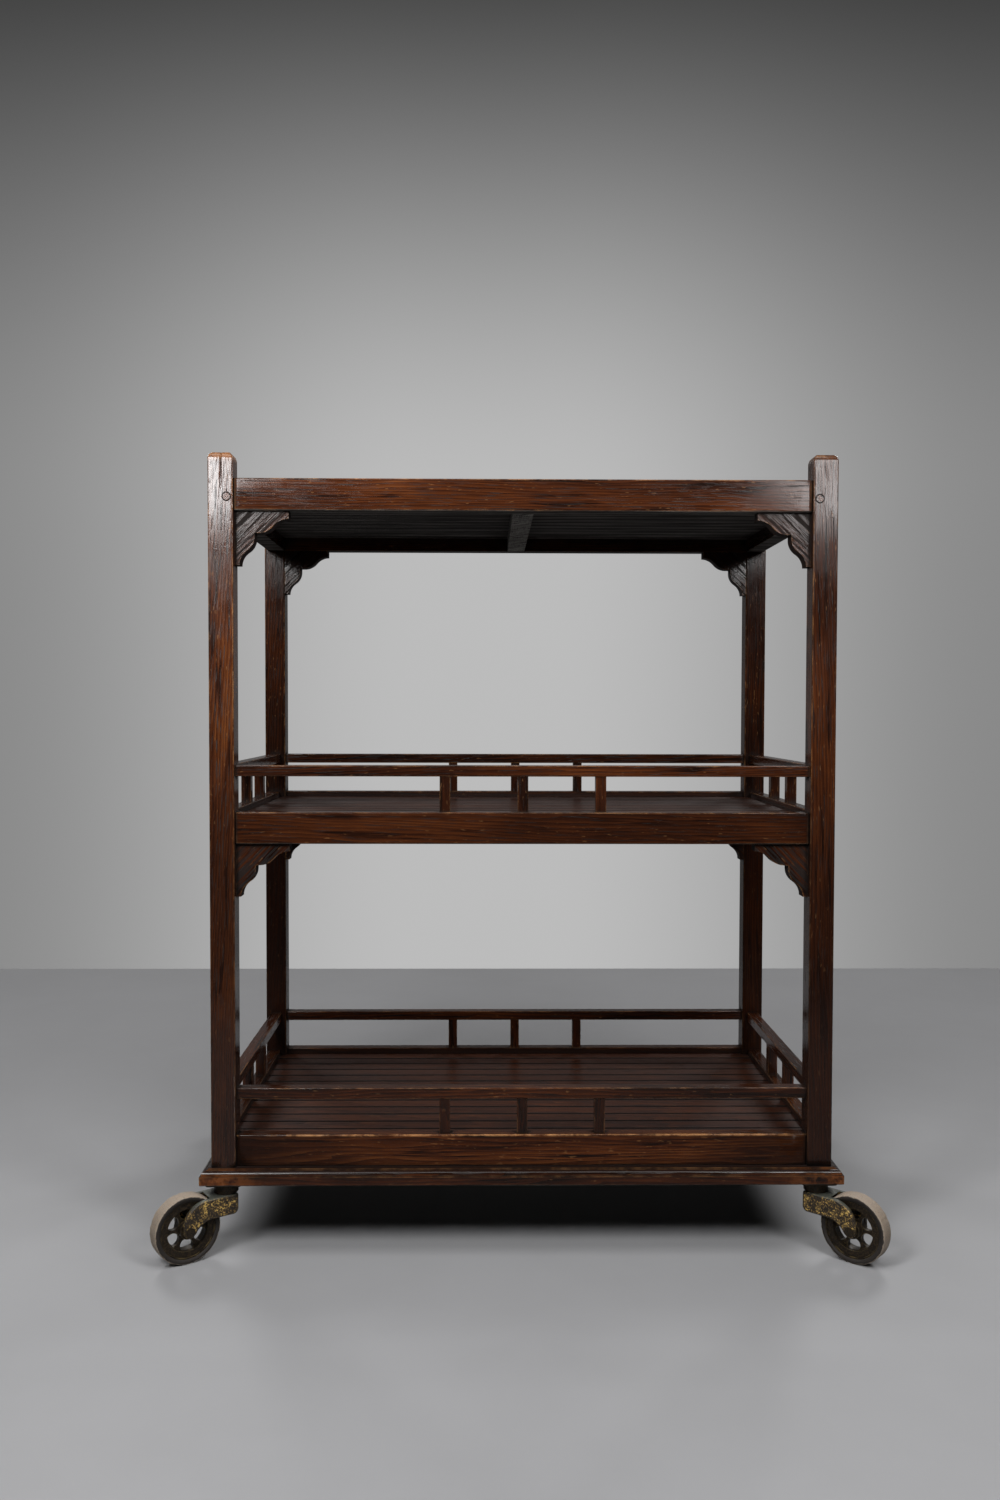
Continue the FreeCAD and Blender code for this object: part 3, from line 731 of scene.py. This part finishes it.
def low_painted_shade(finish):
    """Painted shade: the wood darker towards the floor, in patches, with its polish duller there."""
    patchy = finish.patches(*LOW_SHADE_PATCHY, **LOW_SHADE_PATCHES)
    low_down = finish.span(finish.along("Z"), *LOW_SHADE_RISE, 0.0, LOW_SHADE_SHARE)
    return finish.times(low_down, patchy), STAIN_BLACK, LOW_SHADE_DULL


def board_run(finish, tier):
    """How many boards a point lies from the front of a tray."""
    front, back = [corner.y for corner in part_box(f"{tier}_boards")]
    return finish.sums("DIVIDE", finish.minus(finish.along("Y"), front), (back - front) / BOARD_COUNT)


def board_seams(tier):
    """Dirt in the joints between the boards of a tray."""

    def mark(finish):
        share = finish.sums("FRACT", board_run(finish, tier))
        return finish.span(finish.unsigned(finish.minus(share, 0.5)), *SEAM_FADE), SOOT, DIRT_DULL

    return mark


def board_places(tier):
    """Object places with each board slid along its grain by an amount of its own."""

    def place(finish):
        index = finish.sums("FLOOR", board_run(finish, tier))
        chance = finish.lay("ShaderNodeTexWhiteNoise", {"W": index}, noise_dimensions="1D").outputs["Color"]
        return finish.vectors("ADD", finish.place, finish.scaled(chance, BOARD_SLIDE))

    return place


def bracket_place(finish):
    """Object places folded about the middle and turned: the grain runs from each post up to its rail."""
    parts = finish.parts(finish.place)
    folded = finish.lay(
        "ShaderNodeCombineXYZ", {"X": finish.unsigned(parts["X"]), "Y": parts["Y"], "Z": parts["Z"]}
    ).outputs[0]
    turn = {"Vector": folded, "Rotation": (0.0, BRACKET_TURN, 0.0), "Scale": [BRACKET_GRAIN] * 3}
    return finish.lay("ShaderNodeMapping", turn).outputs[0]


# Worn bars, in place of the even CAD ones

def slice_faces(mesh, axis, plane):
    """Cuts the faces that a plane across an axis passes through."""
    normal = Vector([float(index == axis) for index in range(3)])
    crossed = []
    for face in mesh.faces:
        reach = [vertex.co[axis] for vertex in face.verts]
        if min(reach) < plane < max(reach):
            crossed.append(face)
    points = dict.fromkeys(vertex for face in crossed for vertex in face.verts)
    edges = dict.fromkeys(edge for face in crossed for edge in face.edges)
    geometry = [*points, *edges, *crossed]
    bmesh.ops.bisect_plane(mesh, geom=geometry, dist=WELD, plane_co=normal * plane, plane_no=normal)


def worn_bar(node, grain, material, cut=None):
    """A copy of a bar, sliced along its length, with its arrises worn in unevenly."""
    axis = "XYZ".index(grain)
    sides = [index for index in range(3) if index != axis]
    low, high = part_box(node)
    length = high[axis] - low[axis]
    mesh = bmesh.new()
    mesh.from_mesh(nodes[node].data)
    bmesh.ops.remove_doubles(mesh, verts=mesh.verts, dist=WELD)
    steps = int(length / CHEW_STEP)
    for step in range(1, steps):
        slice_faces(mesh, axis, low[axis] + length * step / steps)
    if cut:
        cut(mesh)
    mesh.normal_update()
    for vertex in mesh.verts:
        away = [min(vertex.co[side] - low[side], high[side] - vertex.co[side]) for side in sides]
        if max(away) < CHEW_REACH:
            lean = 1.0 - max(abs(part) for part in vertex.normal)
            dent = noise.noise(vertex.co * CHEW_SCALE)
            dent += CHEW_FINE_SHARE * noise.noise(vertex.co * CHEW_FINER * CHEW_SCALE)
            vertex.co -= vertex.normal * (max(0.0, dent) * min(1.0, lean / CHEW_LEAN) * CHEW_DEPTH)
    piece = new_piece(f"{node}_worn", mesh, material)
    piece.data.set_sharp_from_angle(angle=SHARP_ANGLE)
    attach(piece, "frame")
    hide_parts(node)
    return piece


def crown_crack(mesh):
    """The old split in the top of the left front post, open at the end grain."""
    low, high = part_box("post_front_left")
    middle = low.x + CRACK_SHARE * (high.x - low.x)
    for step in (-2, -1, 0, 1, 2):
        slice_faces(mesh, 0, middle + step * CRACK_WIDTH)
    for vertex in mesh.verts:
        rise = (vertex.co.z - (high.z - CRACK_LENGTH)) / CRACK_LENGTH
        central = abs(vertex.co.x - middle) < CRACK_WIDTH / 2
        if rise > 0 and central and vertex.co.y < low.y + 2 * CRACK_DEPTH:
            vertex.co.y += CRACK_DEPTH * rise
            vertex.co.x += CRACK_WIDTH * CRACK_SWAY * noise.noise(vertex.co * CHEW_SCALE)


def dress_the_posts(seeds):
    for corner in CORNERS:
        node = f"post_{corner}"
        # Each post is painted darker towards the floor as painted shade
        oak = polished_oak(
            f"oak_{node}", "Z", next(seeds), POST_WEAR[corner], POST_SHADE[corner],
            marks=[low_painted_shade, worn_crown(node, POST_CROWN[corner]), peg_ring(node)],
            gloss=POST_GLOSS[corner],
        )
        piece = worn_bar(node, "Z", oak, crown_crack if corner == "front_left" else None)


def dress_a_tray(tier, seeds):
    """The rails, handrails, boards and batten of one tray."""
    for side, grain in SIDES:
        node = f"{tier}_{side}_rail"
        # Rails other than the scuffed one get painted shade towards the floor
        wear = [dark_ends(node, grain), worn_lip(node)] if node == SCUFFED_RAIL else [low_painted_shade]
        oak = polished_oak(
            f"oak_{node}", grain, next(seeds), RAIL_WEAR, RAIL_SHADE[tier],
            marks=[bare_under, *wear], gloss=RAIL_GLOSS[tier],
        )
        if side == "front":
            worn_bar(node, grain, oak)
        else:
            dress(node, oak)
        if tier in GALLERY_TIERS:
            node = f"{tier}_{side}_handrail"
            dress(node, polished_oak(f"oak_{node}", grain, next(seeds), HANDRAIL_WEAR, HANDRAIL_SHADE))
    seed = next(seeds)
    boards = polished_oak(
        f"oak_{tier}_boards", "X", seed, BOARD_WEAR, BOARD_SHADE, board_places(tier),
        [tray_rub, bare_under, board_seams(tier)],
        gloss=BOARD_GLOSS, polish=BOARD_ROUGH, bump=BOARD_BUMP,
    )
    dress(f"{tier}_boards", boards)
    dress(f"{tier}_cross_batten", sawn_oak(f"sawn_{tier}_batten", seed))


def dress_the_oak():
    seeds = itertools.count(1)
    dress_the_posts(seeds)
    for tier in TIERS:
        dress_a_tray(tier, seeds)
    for tier in GALLERY_TIERS:
        name = f"{tier}_spindles"
        oak = polished_oak(f"oak_{name}", "Z", next(seeds), SPINDLE_WEAR, SPINDLE_SHADE, lines=SPINDLE_LINES)
        dress(name, oak)
    for tier in BRACKET_TIERS:
        name = f"{tier}_brackets"
        oak = polished_oak(
            f"oak_{name}", "Z", next(seeds), BRACKET_WEAR, BRACKET_SHADE[tier], bracket_place,
            [open_pores, sawn_edge], squared=False,
            lines=BRACKET_LINES, gloss=BRACKET_GLOSS, bump=BRACKET_BUMP,
        )
        dress(name, oak)
    # Base mouldings: amber at their worn ends, painted shade on their upper sides, bare undersides
    for side, grain in SIDES:
        node = f"base_{side}_moulding"
        oak = polished_oak(
            f"oak_{node}", grain, next(seeds), BASE_WEAR, BASE_SHADE,
            marks=[worn_ends(node, grain), shaded_shoulder, bare_under], squared=False,
        )
        dress(node, oak)
    dress("joint_pegs", polished_oak("oak_pegs", "Y", next(seeds), PEG_WEAR, PEG_SHADE, squared=False))


# Casters

def gilt_fork():
    """Cast iron once gilded: gilt left on the cheeks, brown at the edges, green with age on top."""
    finish = Finish("caster_fork_gilt", {"Metallic": 0.4, "IOR": 1.5})
    grit = finish.clouds(finish.place, FORK_GRIT, detail=3.0, roughness=0.7)
    patch = finish.clouds(finish.place, FORK_PATCHES)
    gilt = finish.ramp(finish.blend(grit, patch, FORK_PATCH_SHARE), GILT_RAMP)
    iron = finish.mixed(finish.span(grit, *FORK_IRON), IRON_BLACK, BRONZE_BROWN)
    up = finish.span(finish.facing("Z"), *FORK_FACING)
    bare = finish.larger(finish.sharp_arris(*FORK_ARRIS), up)
    colour = finish.mixed(bare, gilt, iron)
    colour = finish.mixed(finish.times(up, FORK_GREEN), colour, VERDIGRIS)
    rough = finish.span(grit, *FORK_SPREAD, *FORK_ROUGH)
    return finish.wear(colour, rough, finish.bumped(grit, FORK_BUMP))


def cast_wheel():
    """Black cast wheel with dull brass showing on its worn lips."""
    finish = Finish("caster_wheel_black", {"Metallic": 0.45, "IOR": 1.5, "Specular IOR Level": 0.2})
    grit = finish.clouds(finish.place, WHEEL_GRIT, detail=3.0, roughness=0.65)
    patchy = finish.patches(0.0, WHEEL_BRASS, **BRASS_PATCHES)
    lip = finish.times(finish.sharp_arris(*WHEEL_LIP), patchy)
    colour = finish.mixed(finish.span(grit, *WHEEL_BROWN), IRON_BLACK, BRONZE_BROWN)
    colour = finish.mixed(lip, colour, DULL_BRASS)
    rough = finish.span(grit, *NOISE_SPREAD, *WHEEL_ROUGH)
    return finish.wear(colour, rough, finish.bumped(grit, WHEEL_BUMP))


def old_steel(name, pitted, plain):
    """Iron or steel gone dull, with pits of a second colour."""
    finish = Finish(name, {"Metallic": 0.7, "IOR": 1.5})
    grit = finish.clouds(finish.place, STEEL_GRIT, detail=4.0, roughness=0.7)
    colour = finish.mixed(finish.span(grit, *STEEL_PLAIN), pitted, plain)
    rough = finish.span(grit, *NOISE_SPREAD, *STEEL_ROUGH)
    return finish.wear(colour, rough, finish.bumped(grit, STEEL_BUMP))


def tyre_rubber():
    """Hard old rubber: black flanks with a ragged edge, and a tread rubbed pale with dust."""
    finish = Finish("tyre_rubber_dusty", {"IOR": 1.5, "Specular IOR Level": 0.3})
    tread = finish.lay("ShaderNodeAttribute", attribute_name="tread").outputs["Fac"]
    grit = finish.clouds(finish.place, TYRE_GRIT, detail=3.0, roughness=0.7)
    felt = finish.clouds(finish.place, TYRE_FELT, detail=4.0, roughness=0.7, distortion=1.5)
    ragged = finish.plus(tread, finish.swing(finish.clouds(finish.place, TYRE_RAGS), TYRE_RAG_SWING))
    worn = finish.mixed(finish.span(felt, *TYRE_DUST), TREAD_BEIGE, DUST)
    worn = finish.mixed(finish.span(grit, *TYRE_SPECKS), worn, BRONZE_BROWN)
    flank = finish.mixed(finish.span(grit, *TYRE_BROWN), RUBBER_BLACK, BRONZE_BROWN)
    colour = finish.mixed(finish.span(ragged, *TYRE_EDGE), flank, worn)
    rough = finish.span(grit, *NOISE_SPREAD, *TYRE_ROUGH)
    height = finish.blend(grit, felt, TYRE_FELT_SHARE)
    return finish.wear(colour, rough, finish.bumped(height, TYRE_BUMP))


def axle_line(corner):
    """The direction of a wheel's axle."""
    spin = next(row for row in frame["joints"] if row["name"] == f"{corner}_spin")
    return Vector(spin["axis"]).normalized()


def worn_tyre(corner, rubber):
    """One tyre, turned about its axle, with rounded shoulders that are nicked all round."""
    node = f"{corner}_tyre"
    low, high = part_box(node)
    centre = (low + high) / 2
    axle = axle_line(corner)

    def along(place):
        return (place - centre).dot(axle)

    def radius(place):
        return (place - centre - axle * along(place)).length

    solid = [vertex.co for vertex in nodes[node].data.vertices]
    half = max(along(place) for place in solid)
    outer = max(radius(place) for place in solid)
    inner = min(radius(place) for place in solid)
    mesh = bmesh.new()
    section = [(inner, -half), (outer, -half), (outer, half), (inner, half)]
    up = Vector((0, 0, 1))
    points = [mesh.verts.new(centre + up * reach + axle * step) for reach, step in section]
    lines = [mesh.edges.new((points[index - 1], points[index])) for index in range(len(points))]
    bmesh.ops.spin(
        mesh, geom=points + lines, cent=centre, axis=axle, angle=2 * math.pi, steps=TYRE_STEPS,
        use_merge=True, use_duplicate=False,
    )
    bmesh.ops.remove_doubles(mesh, verts=mesh.verts, dist=WELD)
    bmesh.ops.recalc_face_normals(mesh, faces=mesh.faces)
    shoulders = [
        edge for edge in mesh.edges
        if all(radius(vertex.co) > (inner + outer) / 2 for vertex in edge.verts)
        and abs(along(edge.verts[0].co) - along(edge.verts[1].co)) < half
    ]
    bmesh.ops.bevel(
        mesh, geom=shoulders, offset=TYRE_SHOULDER, segments=SHOULDER_STEPS, profile=0.5, affect="EDGES",
        material=-1, clamp_overlap=True,
    )
    bmesh.ops.recalc_face_normals(mesh, faces=mesh.faces)
    tread = mesh.verts.layers.float.new("tread")
    for vertex in mesh.verts:
        reach = radius(vertex.co)
        vertex[tread] = min(1.0, max(0.0, (reach - (outer - TYRE_SHOULDER)) / TYRE_SHOULDER))
        if reach > outer - TYRE_SHOULDER and abs(along(vertex.co)) > half - 2 * TYRE_SHOULDER:
            bite = max(0.0, noise.noise(vertex.co * NICK_SCALE)) * NICK_DEPTH
            vertex.co += (centre + axle * along(vertex.co) - vertex.co).normalized() * bite
    piece = new_piece(f"{corner}_tyre_worn", mesh, rubber)
    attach(piece, f"{corner}_roller")
    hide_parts(node)


def dress_the_casters():
    fork = gilt_fork()
    wheel = cast_wheel()
    rubber = tyre_rubber()
    axle = old_steel("caster_axle_brown", IRON_BLACK, BRONZE_BROWN)
    for corner in CORNERS:
        dress(f"{corner}_fork", fork)
        dress(f"{corner}_axle", axle)
        dress(f"{corner}_wheel", wheel)
        worn_tyre(corner, rubber)
    steel = old_steel("caster_steel", IRON_BLACK, STEEL_GREY)
    dress("caster_plates", old_steel("caster_plate_black", IRON_BLACK, BRONZE_BROWN))
    dress("caster_kingpins", steel)
    dress("caster_screws", steel)


# Floor, light and camera

def floor():
    """A plain painted floor, faintly scuffed."""
    mesh = bmesh.new()
    bmesh.ops.create_grid(mesh, x_segments=1, y_segments=1, size=FLOOR_HALF)
    finish = Finish("floor_paint", {"IOR": 1.45, "Roughness": 0.6, "Specular IOR Level": 0.2})
    paint = finish.mixed(finish.patches(0.0, 1.0, **FLOOR_PATCHES), FLOOR_PAINT, FLOOR_SCUFFED)
    finish.feed(finish.shader.inputs["Base Color"], paint)
    new_piece("floor", mesh, finish.material)


def softbox(name, place, watts, size):
    """A lamp that no camera sees, turned to the trolley."""
    data = bpy.data.lights.new(name, "AREA")
    data.shape = "RECTANGLE"
    data.size, data.size_y = size
    data.energy = watts
    lamp = bpy.data.objects.new(name, data)
    lamp.location = place
    lamp.rotation_euler = (Vector(LAMP_AIM) - Vector(place)).to_track_quat("-Z", "Y").to_euler()
    lamp.visible_camera = False
    bpy.context.scene.collection.objects.link(lamp)


def backdrop():
    """A pale wall behind everything the camera sees, dimmer above and aside, and a dim room in front."""
    world = bpy.data.worlds.new("studio")
    bpy.context.scene.world = world
    world.use_nodes = True
    bench = Bench(world.node_tree)
    shine = world.node_tree.nodes["Background"]
    way = bench.parts(bench.lay("ShaderNodeTexCoord").outputs["Generated"])
    wall = bench.mixed(bench.span(way["Z"], *WALL_RISE), WALL_LOW, WALL_HIGH)
    aside = bench.span(bench.unsigned(way["X"]), *WALL_ASIDE, 0.0, WALL_DIMMING)
    bench.feed(shine.inputs["Color"], bench.mixed(aside, wall, WALL_DIM))
    ray = bench.lay("ShaderNodeLightPath").outputs
    seen = bench.larger(ray["Is Camera Ray"], bench.times(ray["Is Glossy Ray"], GLOSS_SHARE))
    room = bench.span(way["Y"], *ROOM_FADE, ROOM_SHARE, WALL_SHARE)
    bench.feed(shine.inputs["Strength"], bench.larger(seen, room))


def camera():
    """Where the photograph was taken from, with its slight tilt."""
    data = bpy.data.cameras.new("camera")
    data.sensor_width = SENSOR_WIDTH
    data.lens = LENS
    eye = bpy.data.objects.new("camera", data)
    eye.location = EYE
    yaw = Matrix.Rotation(EYE_YAW, 3, "Z")
    pitch = Matrix.Rotation(EYE_PITCH, 3, "X")
    roll = Matrix.Rotation(EYE_ROLL, 3, "Z")
    eye.rotation_euler = (yaw @ pitch @ roll).to_euler()
    bpy.context.scene.collection.objects.link(eye)
    bpy.context.scene.camera = eye


dress_the_oak()
dress_the_casters()
floor()
for lamp in LAMPS:
    softbox(*lamp)
backdrop()
camera()
bpy.context.scene.view_settings.view_transform = "Standard"
